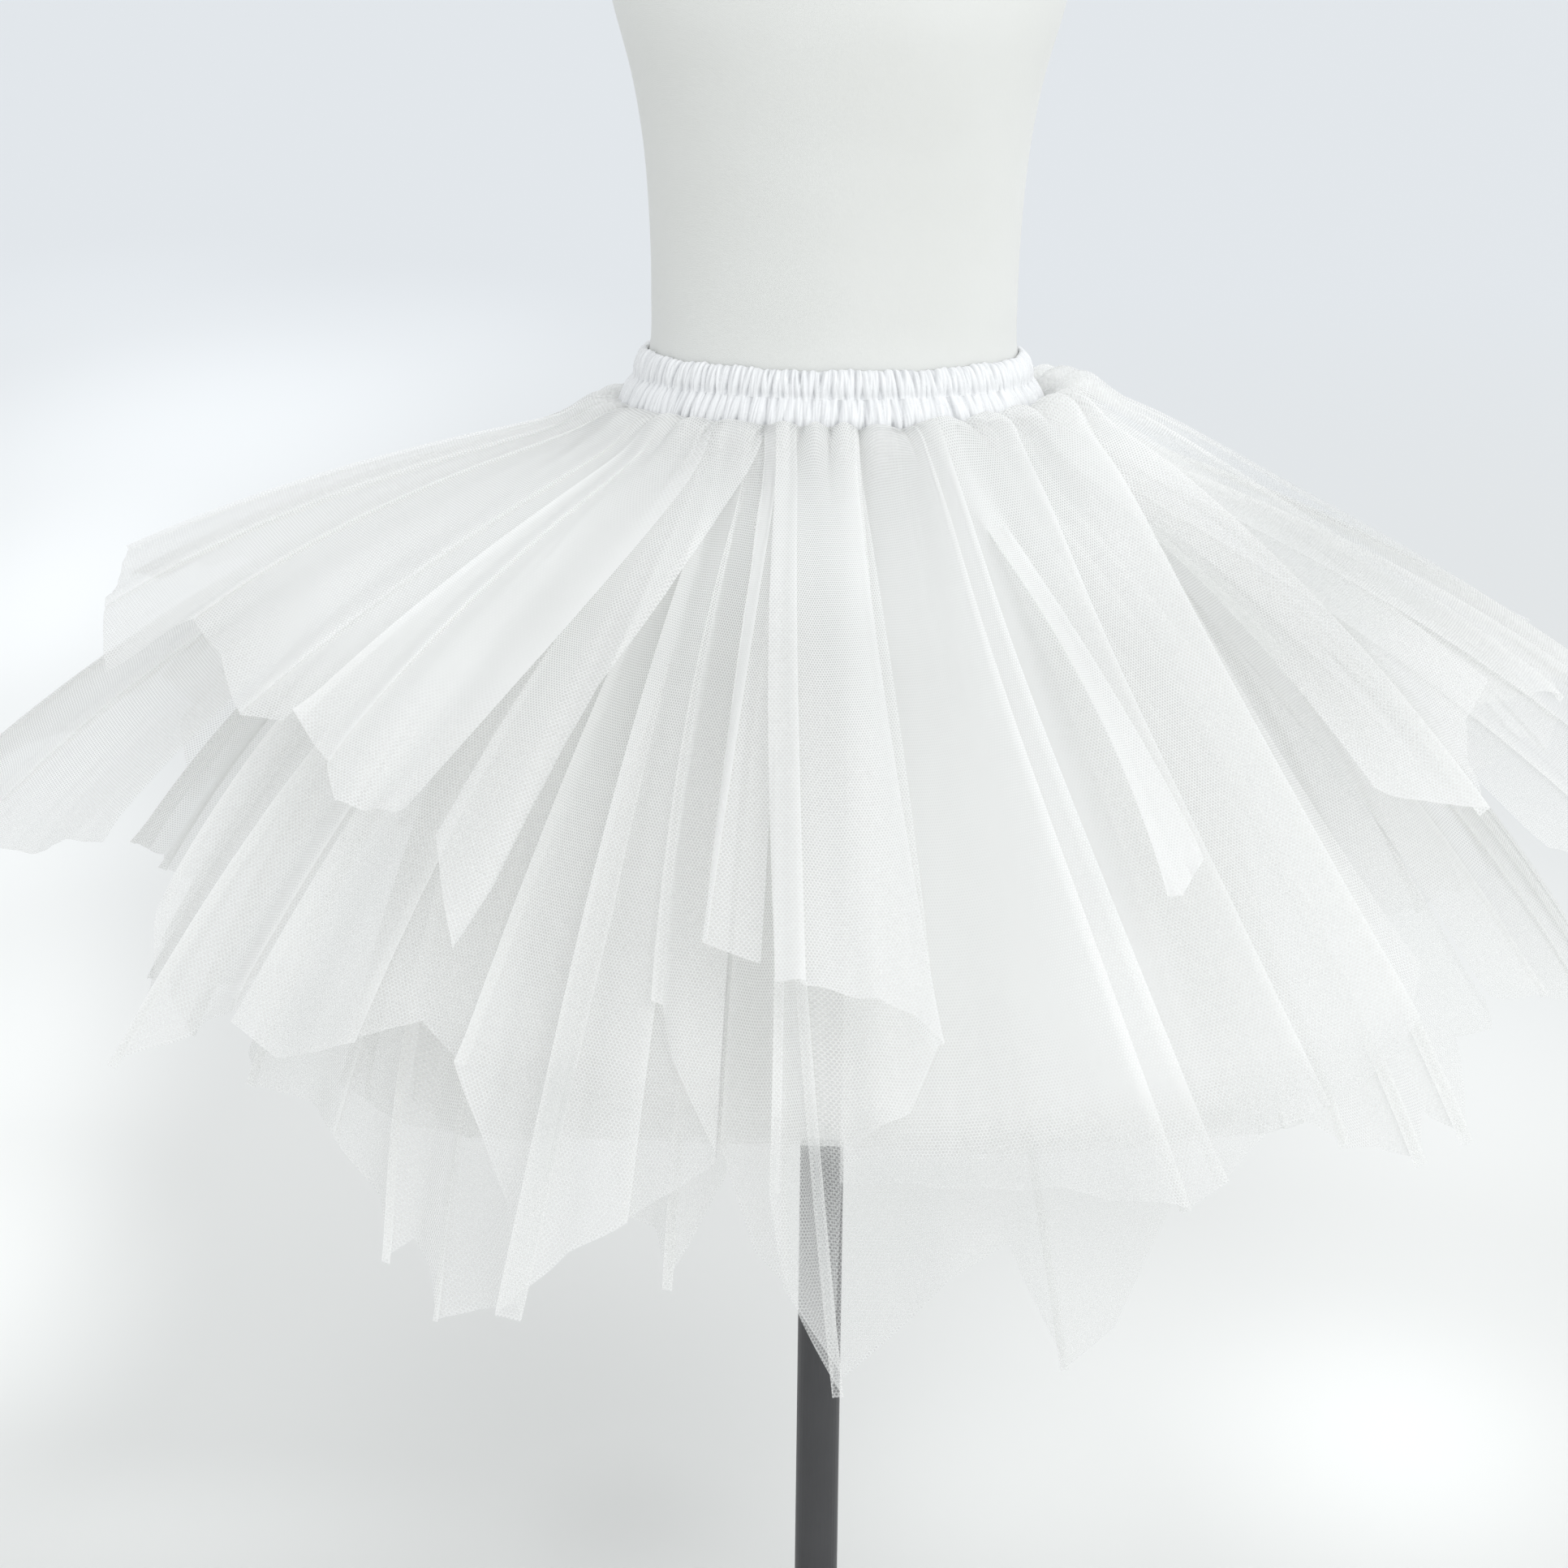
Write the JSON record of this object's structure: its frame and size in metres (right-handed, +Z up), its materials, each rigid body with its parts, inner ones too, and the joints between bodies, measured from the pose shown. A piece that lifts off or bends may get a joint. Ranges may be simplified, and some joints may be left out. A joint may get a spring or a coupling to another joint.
{
  "type": "tulle skirt on dress form",
  "caption": "Layered white tulle petticoat skirt with a gathered satin waistband and pointed panels, worn by a limbless dress form on a pole stand.",
  "frame": {"origin": "middle of the round foot's underside, on the surface that the stand rests on", "axes": "+Z up along the pole; the skirt's front faces -Y; the wearer's left hand side is at +X"},
  "size_m": [1.29, 0.9903, 1.5703],
  "materials": {
    "tulle": "white nylon tulle net, slightly stiff, translucent",
    "satin": "white polyester satin, gathered, soft gloss",
    "form_cover": "off-white stretch jersey cover, matt",
    "stand": "dark grey powder coat, low sheen"
  },
  "bodies": {
    "root": {"underskirt_inner": "tulle", "underskirt_outer": "tulle", "low_left": "tulle", "low_left_front": "tulle", "low_front_left": "tulle", "low_front": "tulle", "low_front_right": "tulle", "low_right": "tulle", "low_right_back": "tulle", "low_back_right": "tulle", "low_back_left": "tulle", "low_left_back": "tulle", "mid_left": "tulle", "mid_left_front": "tulle", "mid_front_left": "tulle", "mid_front": "tulle", "mid_front_right": "tulle", "mid_right": "tulle", "mid_right_back": "tulle", "mid_back_right": "tulle", "mid_back_left": "tulle", "mid_left_back": "tulle", "top_left": "tulle", "top_left_front": "tulle", "top_front_left_outer": "tulle", "top_front_left": "tulle", "top_front": "tulle", "top_front_right": "tulle", "top_right_front": "tulle", "top_right": "tulle", "top_back_right": "tulle", "top_back": "tulle", "top_back_left": "tulle", "waistband": "satin", "dress_form": "form_cover", "neck_cap": "form_cover", "stand_pole": "stand", "stand_foot": "stand"}
  },
  "joints": []
}
